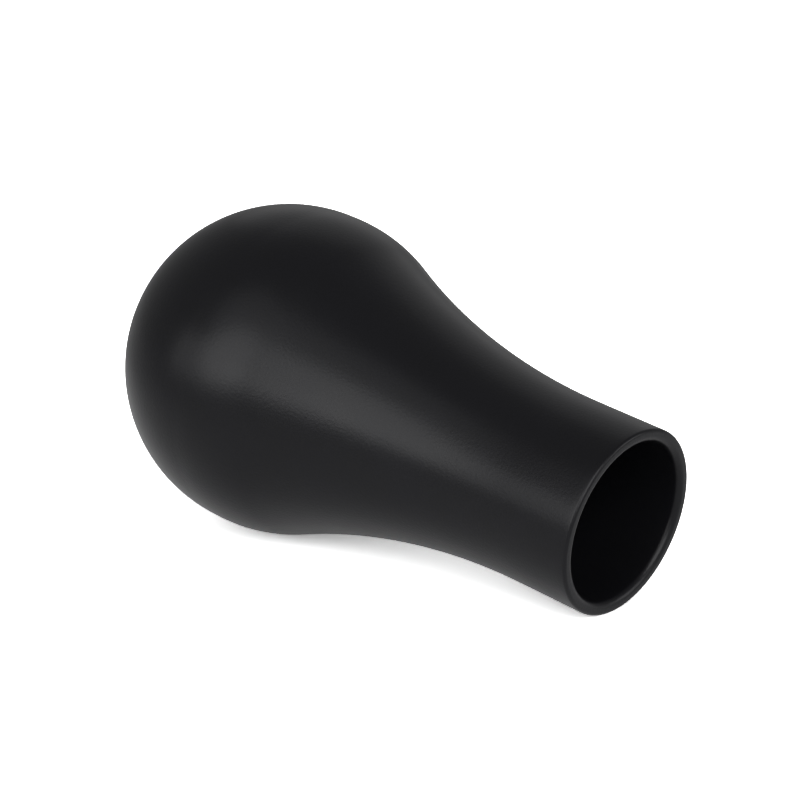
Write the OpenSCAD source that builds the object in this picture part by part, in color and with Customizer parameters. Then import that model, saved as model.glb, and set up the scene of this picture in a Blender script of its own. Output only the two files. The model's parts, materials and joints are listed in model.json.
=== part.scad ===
// Hollow squeeze bulb for blowing dust: a ball, a hollow-curved shoulder and a straight neck with an open mouth.
// It lies on its ball and on the lowest point of its lip, with the mouth towards +X and a little downwards.
// The ball's two sides are zones of their own, because a squeeze pushes them inwards.

/* [Ball] */
// Outside diameter of the ball
ball_d = 50; // [46:1:52]
// Length of the straight band round the ball's widest place
ball_band = 1.2; // [0.2:0.2:2]

/* [Neck] */
// Length of the whole bulb, from the face of the lip to the closed end
bulb_length = 90; // [88:1:100]
// Outside diameter of the straight neck
neck_d = 27.8; // [26:0.2:29]
// Radius of the hollow curve between neck and ball
shoulder_r = 102; // [96:1:108]

/* [Wall] */
// Thickness of the wall, the same all over
wall = 2; // [1.6:0.1:2.4]
// Rounding of the lip's outer edge
lip_outer_r = 0.5; // [0.3:0.1:0.6]
// Rounding of the lip's inner edge
lip_inner_r = 1; // [0.5:0.1:1]

/* [Squeeze] */
// Diameter of each side zone that a squeeze pushes inwards
press_d = 29; // [20:1:30]
// Gap round each side zone
press_gap = 0.3; // [0.2:0.05:0.5]

/* [Hidden] */
$fn = 180;
rubber = "#26282a";
cut = 1;

ball_r = ball_d / 2;
neck_r = neck_d / 2;

// Distances in from the face of the lip, along the bulb's own axis
ball_rear_s = bulb_length - ball_r;
ball_front_s = ball_rear_s - ball_band;
// The shoulder's arc touches the neck's line and the ball's circle
shoulder_reach = sqrt(pow(shoulder_r + ball_r, 2) - pow(shoulder_r + neck_r, 2));
shoulder_s = ball_front_s - shoulder_reach;
join_turn = shoulder_reach / (shoulder_r + ball_r);
join_s = ball_front_s - ball_r * join_turn;

// Each side zone starts just behind the shoulder
press_s = join_s + press_gap + press_d / 2 + press_gap;

// Lying at rest, the lip's outer rounding and the ball both touch the ground
lip_s = lip_outer_r;
lip_r = neck_r - lip_outer_r;
reach = ball_front_s - lip_s;
tilt = asin((ball_r - lip_outer_r) / sqrt(pow(reach, 2) + pow(lip_r, 2))) - atan2(lip_r, reach);

// Place of the ball's front centre that puts the whole bulb's middle over the origin
mouth_x = reach * cos(tilt) + lip_r * sin(tilt) + lip_outer_r;
rear_x = ball_band * cos(tilt) + ball_r;
ball_x = (rear_x - mouth_x) / 2;

// Outline of a bulb shrunk inwards by d, from the axis out: x is the radius, y the distance in from the lip
module bulb_outline(d) {
    turn_s = ball_front_s - (ball_r - d) * join_turn;
    turn_r = (ball_r - d) * (shoulder_r + neck_r) / (shoulder_r + ball_r);
    intersection() {
        union() {
            difference() {
                square([turn_r, turn_s]);
                translate([neck_r - d, -cut]) square([ball_r, shoulder_s + cut]);
                translate([neck_r + shoulder_r, shoulder_s]) circle(shoulder_r + d);
            }
            translate([0, ball_front_s]) circle(ball_r - d);
            translate([0, ball_rear_s]) circle(ball_r - d);
            translate([0, ball_front_s]) square([ball_r - d, ball_band]);
        }
        square([ball_d, bulb_length]);
    }
}

// What a rounding of radius r takes off an edge at the lip's face: side is 1 for the outer edge, -1 for the inner
module edge_rounding(edge_r, r, side) {
    centre = edge_r - side * r;
    difference() {
        translate([min(centre, edge_r + side * cut), -cut]) square([r + cut, r + cut]);
        translate([centre, r]) circle(r);
    }
}

// Section of the whole wall, on one side of the axis
module wall_section() {
    difference() {
        bulb_outline(0);
        bulb_outline(wall);
        edge_rounding(neck_r, lip_outer_r, 1);
        edge_rounding(neck_r - wall, lip_inner_r, -1);
    }
}

// Turns the section between two distances from the lip into a ring of wall, standing on the lip's face
module wall_ring(from_s, to_s) {
    rotate_extrude() intersection() {
        wall_section();
        translate([0, from_s]) square([ball_d, to_s - from_s]);
    }
}

// Lays a bulb that stands on its lip down onto the ground
module lay_down() {
    translate([ball_x, 0, ball_r])
        rotate([0, tilt - 90, 0])
        translate([0, 0, -ball_front_s])
        children();
}

// Straight punch through one side of the standing bulb: side is -1 under the thumb, 1 under the fingers
module press_punch(side, d) {
    translate([0, 0, press_s])
        rotate([-90 * side, 0, 0])
        cylinder(d = d, h = ball_d);
}

module mouth_neck() {
    color(rubber) lay_down() wall_ring(0, join_s);
}

module ball_wall() {
    color(rubber) lay_down() difference() {
        wall_ring(join_s, bulb_length);
        for (side = [-1, 1]) press_punch(side, press_d + 2 * press_gap);
    }
}

// One side zone of the ball's wall
module press_zone(side) {
    lay_down() intersection() {
        wall_ring(join_s, bulb_length);
        press_punch(side, press_d);
    }
}

module thumb_wall() {
    color(rubber) press_zone(-1);
}

module finger_wall() {
    color(rubber) press_zone(1);
}

mouth_neck();
ball_wall();
thumb_wall();
finger_wall();
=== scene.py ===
"""A dust blower's squeeze bulb in black moulded rubber, lying on its ball and its lip on a white table.

The wall is one lathed shape, worked out from the frame's own sizes. It is divided into a body and two
cheeks, on the thumb's side and on the fingers' side.
"""
import json
import math

import bmesh
import bpy
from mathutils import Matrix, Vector


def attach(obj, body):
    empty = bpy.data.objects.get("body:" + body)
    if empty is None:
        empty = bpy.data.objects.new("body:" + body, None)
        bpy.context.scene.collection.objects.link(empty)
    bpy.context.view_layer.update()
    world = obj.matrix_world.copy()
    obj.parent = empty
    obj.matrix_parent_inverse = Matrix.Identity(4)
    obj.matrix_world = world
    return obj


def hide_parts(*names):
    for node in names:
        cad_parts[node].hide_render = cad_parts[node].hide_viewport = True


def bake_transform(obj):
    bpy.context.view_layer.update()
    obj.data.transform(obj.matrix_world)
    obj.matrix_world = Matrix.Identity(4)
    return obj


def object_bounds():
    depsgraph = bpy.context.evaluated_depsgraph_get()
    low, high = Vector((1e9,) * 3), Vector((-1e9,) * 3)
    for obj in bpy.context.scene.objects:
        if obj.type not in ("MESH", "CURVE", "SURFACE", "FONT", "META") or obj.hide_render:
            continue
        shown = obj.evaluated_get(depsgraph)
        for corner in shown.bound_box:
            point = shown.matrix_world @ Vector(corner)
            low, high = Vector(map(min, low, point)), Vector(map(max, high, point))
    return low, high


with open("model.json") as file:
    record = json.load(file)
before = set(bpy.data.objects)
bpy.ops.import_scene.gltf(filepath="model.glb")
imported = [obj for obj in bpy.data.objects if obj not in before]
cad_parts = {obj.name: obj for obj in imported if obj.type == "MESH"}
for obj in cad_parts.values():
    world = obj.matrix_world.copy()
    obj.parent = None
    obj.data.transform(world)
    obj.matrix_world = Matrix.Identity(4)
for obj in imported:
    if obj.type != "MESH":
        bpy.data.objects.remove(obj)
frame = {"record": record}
cad_low, cad_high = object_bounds()

MM = 0.001

# ---------------------------------------------------------------- sizes, in metres, from the frame
nozzle_bore = next(m for m in frame["record"]["mounts"] if m["name"] == "nozzle_bore")
OUT_OF_MOUTH = Vector(nozzle_bore["axis"]).normalized()
BORE_R = nozzle_bore["dims"]["r_mm"] * MM
LIP_INNER_R = 1.0 * MM
LIP_OUTER_R = 0.5 * MM
WALL = 2.0 * MM
NECK_R = BORE_R + WALL

BALL_R = (cad_high.y - cad_low.y) / 2
REAR_CENTRE = Vector((cad_low.x + BALL_R, 0, cad_high.z - BALL_R))
# The ball's front half stands on the ground, so its centre is one radius up
FRONT_CENTRE = REAR_CENTRE + OUT_OF_MOUTH * (REAR_CENTRE.z - BALL_R) / -OUT_OF_MOUTH.z
BALL_BAND = (FRONT_CENTRE - REAR_CENTRE).length

# Distances in from the face of the lip, along the bulb's own axis
SHOULDER_START = LIP_INNER_R + nozzle_bore["dims"]["length_mm"] * MM
BORE_MIDDLE = (LIP_INNER_R + SHOULDER_START) / 2
BALL_FRONT = BORE_MIDDLE + (Vector(nozzle_bore["pos_m"]) - FRONT_CENTRE).length
BALL_REAR = BALL_FRONT + BALL_BAND
LIP_CENTRE = FRONT_CENTRE + OUT_OF_MOUTH * BALL_FRONT

# The shoulder's arc touches the neck's line at its start and the ball's circle at its end
SHOULDER_REACH = BALL_FRONT - SHOULDER_START
SHOULDER_R = (SHOULDER_REACH**2 - BALL_R**2 + NECK_R**2) / (2 * (BALL_R - NECK_R))
SHOULDER_TURN = math.atan2(SHOULDER_REACH, SHOULDER_R + NECK_R)

# A cheek starts this far out from the ball's middle, and its pole leans this far back from straight across
CHEEK_START = 5.0 * MM
CHEEK_LEAN = math.radians(9)

# The lathe's named inputs. Lean and Lip centre lay the turned wall down on the table
LATHE_SIZES = {
    "Ball radius": BALL_R,
    "Ball front": BALL_FRONT,
    "Ball rear": BALL_REAR,
    "Neck radius": NECK_R,
    "Shoulder radius": SHOULDER_R,
    "Shoulder start": SHOULDER_START,
    "Shoulder turn": SHOULDER_TURN,
    "Wall": WALL,
    "Lip outer radius": LIP_OUTER_R,
    "Lip inner radius": LIP_INNER_R,
    "Steps around": 160,
    "Lean": (0.0, math.acos(OUT_OF_MOUTH.z), 0.0),
    "Lip centre": tuple(LIP_CENTRE),
}
SOCKET_KINDS = {float: "NodeSocketFloat", int: "NodeSocketInt", tuple: "NodeSocketVector"}

# Points on each stretch of the wall's section, or cuts where it is a line
NECK_CUTS = 11
SHOULDER_POINTS = 49
BALL_FRONT_POINTS = 17
BALL_BAND_CUTS = 1
BALL_REAR_POINTS = 61
LIP_OUTER_POINTS = 9
LIP_INNER_POINTS = 11
LIP_FACE_CUTS = 2
SAME_POINT = 0.001 * MM

# ---------------------------------------------------------------- finishes
BLACK_BARE = "#151517"
BLACK_BLOOMED = "#17171b"
BLOOM_PATCH = 9 * MM
# The roughness goes from the first to the second of SATIN as the bloom goes over BLOOM_SPREAD
BLOOM_SPREAD = (0.3, 0.7)
SATIN = (0.29, 0.32)
GRAIN_WIDTH = 0.4 * MM
GRAIN_DEPTH = 0.03 * MM
# A Mix node's colour sockets
MIX_A, MIX_B, MIX_RESULT = 6, 7, 2

# How white the paper is: to the camera, and to the rubber near the middle of the sheet and far from it; to
# the rubber this is a painted pool of light, darker away from the middle
PAPER_SEEN = 2.1
PAINTED_POOL_NEAR = 0.9
PAINTED_POOL_FAR = 0.55
# Strength of the paper's painted glow, standing in for light from below
PAINTED_GLOW_FROM_BELOW = 0.21
# The painted pool of light and the painted glow on the paper fall off between these distances from its
# middle
PAINTED_POOL_START = 45 * MM
PAINTED_POOL_END = 200 * MM
TABLE_HALF = 3.0

# ---------------------------------------------------------------- lights and camera
# Name, azimuth and elevation, width across as seen from the bulb, all in degrees, and brightness.
# Left and right are as the camera sees them
SOFT_LIGHTS = (
    ("wide_softbox_on_the_left", 0, 13, 50, 2.5),
    ("low_strip_on_the_left", 0, 3, 24, 2.0),
    ("low_softbox_far_left", -30, 8, 34, 1.55),
    ("high_reflector_on_the_left", 0, 40, 50, 0.87),
    ("wide_softbox_on_the_right", 60, 23, 50, 3.9),
    ("low_softbox_far_right", 120, 10, 40, 2.6),
    ("pale_wall_behind", -150, 33, 50, 0.32),
)
ROOM_GLOW = 0.38

LENS_MM = 118.2
SENSOR_MM = 36.0
CAMERA_AZIMUTH = 40.91
CAMERA_ELEVATION = 14.89
CAMERA_DISTANCE_MM = 400
LOOKS_AT = Vector((-6.70, 9.56, 20.66)) * MM
# Below 1 the view's gamma deepens the blacks and leaves white alone
VIEW_GAMMA = 0.8


# ---------------------------------------------------------------- small tools
def linear(hex_colour):
    """An sRGB hex colour as a linear RGBA value."""
    parts = [int(hex_colour[i : i + 2], 16) / 255 for i in (1, 3, 5)]
    return (*(c / 12.92 if c <= 0.04045 else ((c + 0.055) / 1.055) ** 2.4 for c in parts), 1.0)


def add_node(tree, kind, inputs=None, **settings):
    """Adds a node. inputs maps a socket's name or number to a value, or to the output, or the list of
    outputs, that feeds it."""
    node = tree.nodes.new(kind)
    for name, value in settings.items():
        setattr(node, name, value)
    for key, value in (inputs or {}).items():
        sources = value if isinstance(value, list) else [value]
        for source in sources:
            if isinstance(source, bpy.types.NodeSocket):
                tree.links.new(source, node.inputs[key])
            else:
                node.inputs[key].default_value = source
    return node


def add_material(name):
    """A new material with an empty node tree. Gives the material and the tree."""
    material = bpy.data.materials.new(name)
    material.use_nodes = True
    material.node_tree.nodes.clear()
    return material, material.node_tree


def add_object(name, data):
    """A new object in the scene, at the origin."""
    thing = bpy.data.objects.new(name, data)
    bpy.context.scene.collection.objects.link(thing)
    return thing


def direction(azimuth, elevation):
    """The unit vector toward a place round the bulb. Azimuth 0 is toward -Y, and 90 is toward +X."""
    a, e = math.radians(azimuth), math.radians(elevation)
    return Vector((math.sin(a) * math.cos(e), -math.cos(a) * math.cos(e), math.sin(e)))


def turn_toward(thing, back):
    """Turns a lamp or a camera so that it looks along the opposite of back."""
    thing.rotation_mode = "QUATERNION"
    thing.rotation_quaternion = back.to_track_quat("Z", "Y")


def set_plain_mesh(thing, outward=False):
    """Turns an object's modifiers into a plain mesh, with its faces turned outward where asked."""
    evaluated = thing.evaluated_get(bpy.context.evaluated_depsgraph_get())
    mesh = bpy.data.meshes.new_from_object(evaluated)
    thing.modifiers.clear()
    thing.data = mesh
    if outward:
        shape = bmesh.new()
        shape.from_mesh(mesh)
        bmesh.ops.recalc_face_normals(shape, faces=shape.faces)
        shape.to_mesh(mesh)
        shape.free()


# ---------------------------------------------------------------- rubber
def moulded_rubber():
    """Black elastomer, compression moulded in a fine-blasted tool: satin, with a soft broad shine and no
    gloss."""
    material, tree = add_material("moulded_black_rubber")
    place = add_node(tree, "ShaderNodeTexCoord").outputs["Object"]
    # Bloom: a faint paler film in patches
    bloom = add_node(
        tree,
        "ShaderNodeTexNoise",
        {"Vector": place, "Scale": 1 / BLOOM_PATCH, "Detail": 3.0, "Roughness": 0.55},
    ).outputs["Fac"]
    colour = add_node(
        tree,
        "ShaderNodeMix",
        {"Factor": bloom, MIX_A: linear(BLACK_BARE), MIX_B: linear(BLACK_BLOOMED)},
        data_type="RGBA",
    ).outputs[MIX_RESULT]
    satin = add_node(
        tree,
        "ShaderNodeMapRange",
        {
            "Value": bloom,
            "From Min": BLOOM_SPREAD[0],
            "From Max": BLOOM_SPREAD[1],
            "To Min": SATIN[0],
            "To Max": SATIN[1],
        },
    ).outputs["Result"]
    # The blasted grain of the tool
    grain = add_node(
        tree,
        "ShaderNodeTexNoise",
        {"Vector": place, "Scale": 1 / GRAIN_WIDTH, "Detail": 2.0, "Roughness": 0.5},
    ).outputs["Fac"]
    relief = add_node(tree, "ShaderNodeBump", {"Height": grain, "Strength": 0.6, "Distance": GRAIN_DEPTH})
    shader = add_node(
        tree,
        "ShaderNodeBsdfPrincipled",
        {
            "Base Color": colour,
            "Roughness": satin,
            "Normal": relief.outputs["Normal"],
            "IOR": 1.5,
            "Specular IOR Level": 0.3,
        },
    )
    add_node(tree, "ShaderNodeOutputMaterial", {"Surface": shader.outputs[0]})
    return material


# ---------------------------------------------------------------- the lathed wall
def wall_tree(rubber):
    """Geometry Nodes: draws the section of the wall from arcs and lines, x the radius and y the distance in
    from the lip, then turns it round the bulb's axis and lays it down."""
    tree = bpy.data.node_groups.new("lathed_wall", "GeometryNodeTree")
    tree.is_modifier = True
    for name, value in LATHE_SIZES.items():
        tree.interface.new_socket(name=name, in_out="INPUT", socket_type=SOCKET_KINDS[type(value)])
    tree.interface.new_socket(name="Geometry", in_out="OUTPUT", socket_type="NodeSocketGeometry")
    size = tree.nodes.new("NodeGroupInput").outputs

    def math_of(operation, a, b):
        return add_node(tree, "ShaderNodeMath", {0: a, 1: b}, operation=operation).outputs[0]

    def point(x, y):
        return add_node(tree, "ShaderNodeCombineXYZ", {0: x, 1: y}).outputs[0]

    def moved(shape, by):
        return add_node(tree, "GeometryNodeTransform", {0: shape, "Translation": by}).outputs[0]

    def merged(shape):
        inputs = {"Geometry": shape, "Distance": SAME_POINT}
        return add_node(tree, "GeometryNodeMergeByDistance", inputs).outputs[0]

    def arc(centre, radius, start, sweep, points):
        inputs = {"Resolution": points, "Radius": radius, "Start Angle": start, "Sweep Angle": sweep}
        curve = add_node(tree, "GeometryNodeCurveArc", inputs, mode="RADIUS")
        return moved(curve.outputs[0], centre)

    def line(start, end, cuts):
        curve = add_node(tree, "GeometryNodeCurvePrimitiveLine", {"Start": start, "End": end})
        inputs = {"Curve": curve.outputs[0], "Cuts": cuts}
        return add_node(tree, "GeometryNodeSubdivideCurve", inputs).outputs[0]

    quarter = math.pi / 2
    neck_r, lip_outer, lip_inner = size["Neck radius"], size["Lip outer radius"], size["Lip inner radius"]
    start, turn = size["Shoulder start"], size["Shoulder turn"]
    minus_turn = math_of("MULTIPLY", turn, -1.0)
    before_turn = math_of("SUBTRACT", math.pi, turn)
    arc_out = math_of("ADD", neck_r, size["Shoulder radius"])
    pieces = []
    for inset, lip_edge in ((0.0, lip_outer), (size["Wall"], lip_inner)):
        neck = math_of("SUBTRACT", neck_r, inset)
        ball = math_of("SUBTRACT", size["Ball radius"], inset)
        shoulder = math_of("ADD", size["Shoulder radius"], inset)
        pieces += [
            line(point(neck, lip_edge), point(neck, start), NECK_CUTS),
            arc(point(arc_out, start), shoulder, before_turn, turn, SHOULDER_POINTS),
            arc(point(0.0, size["Ball front"]), ball, minus_turn, turn, BALL_FRONT_POINTS),
            line(point(ball, size["Ball front"]), point(ball, size["Ball rear"]), BALL_BAND_CUTS),
            arc(point(0.0, size["Ball rear"]), ball, 0.0, quarter, BALL_REAR_POINTS),
        ]
    outer_edge = math_of("SUBTRACT", neck_r, lip_outer)
    inner_edge = math_of("ADD", math_of("SUBTRACT", neck_r, size["Wall"]), lip_inner)
    pieces += [
        arc(point(outer_edge, lip_outer), lip_outer, -quarter, quarter, LIP_OUTER_POINTS),
        arc(point(inner_edge, lip_inner), lip_inner, math.pi, quarter, LIP_INNER_POINTS),
        line(point(inner_edge, 0.0), point(outer_edge, 0.0), LIP_FACE_CUTS),
    ]
    # One line, from the outer pole round the lip to the inner pole
    loose = add_node(tree, "GeometryNodeJoinGeometry", {0: pieces})
    edges = add_node(tree, "GeometryNodeCurveToMesh", {"Curve": loose.outputs[0]})
    section = add_node(tree, "GeometryNodeMeshToCurve", {"Mesh": merged(edges.outputs[0])})
    # Swept round a circle of the neck's size, with the section moved in by as much
    circle_inputs = {"Resolution": size["Steps around"], "Radius": neck_r}
    circle = add_node(tree, "GeometryNodeCurvePrimitiveCircle", circle_inputs)
    profile = moved(section.outputs[0], point(math_of("MULTIPLY", neck_r, -1.0), 0.0))
    sweep_inputs = {"Curve": circle.outputs[0], "Profile Curve": profile}
    turned = add_node(tree, "GeometryNodeCurveToMesh", sweep_inputs)
    smooth = add_node(tree, "GeometryNodeSetShadeSmooth", {0: merged(turned.outputs[0])})
    lying = add_node(
        tree,
        "GeometryNodeTransform",
        {0: smooth.outputs[0], "Translation": size["Lip centre"], "Rotation": size["Lean"]},
    )
    real = add_node(tree, "GeometryNodeRealizeInstances", {0: lying.outputs[0]})
    coated = add_node(tree, "GeometryNodeSetMaterial", {0: real.outputs[0], "Material": rubber})
    add_node(tree, "NodeGroupOutput", {0: coated.outputs[0]})
    return tree


def lathed_wall(rubber):
    """The whole wall as one plain closed mesh on an object of its own, with its shading normals."""
    wall = add_object("whole_wall", bpy.data.meshes.new("whole_wall"))
    tree = wall_tree(rubber)
    lathe = wall.modifiers.new("lathe", "NODES")
    lathe.node_group = tree
    for item in tree.interface.items_tree:
        if item.in_out == "INPUT":
            lathe[item.identifier] = LATHE_SIZES[item.name]
    set_plain_mesh(wall, outward=True)
    return wall


# ---------------------------------------------------------------- body and cheeks
def outward_of_cheek(side):
    """The way a cheek's pole faces. side is -1 for the thumb's and 1 for the finger's."""
    return Vector((0, side * math.cos(CHEEK_LEAN), 0)) - OUT_OF_MOUTH * math.sin(CHEEK_LEAN)


def cut_wall(name, whole, cuts):
    """A part of the whole wall as a closed piece. Each cut is its outward direction, and whether the outer
    side is the one that is kept."""
    shape = bmesh.new()
    shape.from_mesh(whole.data)
    for outward, keep_outer in cuts:
        found = bmesh.ops.bisect_plane(
            shape,
            geom=shape.verts[:] + shape.edges[:] + shape.faces[:],
            plane_co=FRONT_CENTRE + outward * CHEEK_START,
            plane_no=outward,
            clear_inner=keep_outer,
            clear_outer=not keep_outer,
        )
        rim = [item for item in found["geom_cut"] if isinstance(item, bmesh.types.BMEdge)]
        bmesh.ops.triangle_fill(shape, edges=rim, use_beauty=True, use_dissolve=False)
    bmesh.ops.recalc_face_normals(shape, faces=shape.faces)
    for face in shape.faces:
        face.smooth = True
    mesh = bpy.data.meshes.new(name)
    shape.to_mesh(mesh)
    shape.free()
    mesh.materials.append(whole.data.materials[0])
    piece = add_object(name, mesh)
    # The shading runs on across the cuts as it does over the whole wall
    shading = piece.modifiers.new("shading", "DATA_TRANSFER")
    shading.object = whole
    shading.use_loop_data = True
    shading.data_types_loops = {"CUSTOM_NORMAL"}
    shading.loop_mapping = "POLYINTERP_NEAREST"
    set_plain_mesh(piece)
    return piece


def blower_bulb():
    """The moulding: a body on the bulb, and a cheek cut off each side of it."""
    whole = lathed_wall(moulded_rubber())
    thumb, finger = outward_of_cheek(-1), outward_of_cheek(1)
    body = cut_wall("moulded_body", whole, [(thumb, False), (finger, False)])
    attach(body, "bulb")
    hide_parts("mouth_neck", "ball_wall")
    for name, outward, moving, node in (
        ("thumb_cheek", thumb, "thumb_side", "thumb_wall"),
        ("finger_cheek", finger, "finger_side", "finger_wall"),
    ):
        cheek = cut_wall(name, whole, [(outward, True)])
        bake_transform(cheek)
        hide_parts(node)
    bpy.data.objects.remove(whole)


# ---------------------------------------------------------------- table, light and camera
def white_table():
    """A sheet of translucent white paper, far bigger than the bulb, with a painted glow standing in for
    light from below and a painted pool of light round the bulb. It is overexposed, as it is for such a
    black object: the camera sees it brighter than it lights the rubber."""
    material, tree = add_material("white_paper_with_painted_pool")
    # A painted pool of light round the bulb: the paper's white and its painted glow fade with distance from
    # the middle
    place = add_node(tree, "ShaderNodeTexCoord").outputs["Object"]
    distance = add_node(tree, "ShaderNodeVectorMath", {0: place}, operation="LENGTH").outputs["Value"]

    def painted_pool_fade(near, far):
        reach = {"Value": distance, "From Min": PAINTED_POOL_START, "From Max": PAINTED_POOL_END}
        return add_node(tree, "ShaderNodeMapRange", {**reach, "To Min": near, "To Max": far}).outputs[0]

    # To the rubber the paper's white is the painted pool of light; to the camera it is plain overexposed
    # white
    seen = add_node(tree, "ShaderNodeLightPath").outputs["Is Camera Ray"]
    whites = {"Value": seen, "To Min": painted_pool_fade(PAINTED_POOL_NEAR, PAINTED_POOL_FAR), "To Max": PAPER_SEEN}
    white = add_node(tree, "ShaderNodeMapRange", whites).outputs["Result"]
    paper = add_node(tree, "ShaderNodeBsdfDiffuse", {"Color": white})
    # The painted glow from below, fading away from the middle
    painted_glow_from_below = add_node(tree, "ShaderNodeEmission", {"Strength": painted_pool_fade(PAINTED_GLOW_FROM_BELOW, 0.0)})
    both = add_node(tree, "ShaderNodeAddShader", {0: paper.outputs[0], 1: painted_glow_from_below.outputs[0]})
    add_node(tree, "ShaderNodeOutputMaterial", {"Surface": both.outputs[0]})
    mesh = bpy.data.meshes.new("table")
    corners = [(TABLE_HALF * x, TABLE_HALF * y, 0) for x, y in ((-1, -1), (1, -1), (1, 1), (-1, 1))]
    mesh.from_pydata(corners, [], [(0, 1, 2, 3)])
    mesh.materials.append(material)
    add_object("table", mesh)


def studio():
    """A dim white room round the table, with wide soft lights far enough off to light the paper evenly."""
    world = bpy.data.worlds.new("room")
    bpy.context.scene.world = world
    world.use_nodes = True
    tree = world.node_tree
    tree.nodes.clear()
    glow = add_node(tree, "ShaderNodeBackground", {"Color": (1.0, 1.0, 1.0, 1.0), "Strength": ROOM_GLOW})
    add_node(tree, "ShaderNodeOutputWorld", {"Surface": glow.outputs[0]})
    for name, azimuth, elevation, width, brightness in SOFT_LIGHTS:
        half = math.radians(width) / 2
        data = bpy.data.lights.new(name, "SUN")
        data.angle = 2 * half
        # What an evenly bright disc of that width gives a surface that faces it
        data.energy = math.pi * math.sin(half) ** 2 * brightness
        turn_toward(add_object(name, data), direction(azimuth, elevation))


def camera():
    """A long lens on the mouth's and the thumb's side of the bulb, looking a little down."""
    data = bpy.data.cameras.new("camera")
    data.lens = LENS_MM
    data.sensor_width = SENSOR_MM
    back = direction(CAMERA_AZIMUTH, CAMERA_ELEVATION)
    eye = add_object("camera", data)
    eye.location = LOOKS_AT + back * CAMERA_DISTANCE_MM * MM
    turn_toward(eye, back)
    bpy.context.scene.camera = eye


blower_bulb()
white_table()
studio()
camera()
bpy.context.scene.view_settings.view_transform = "Standard"
bpy.context.scene.view_settings.gamma = VIEW_GAMMA
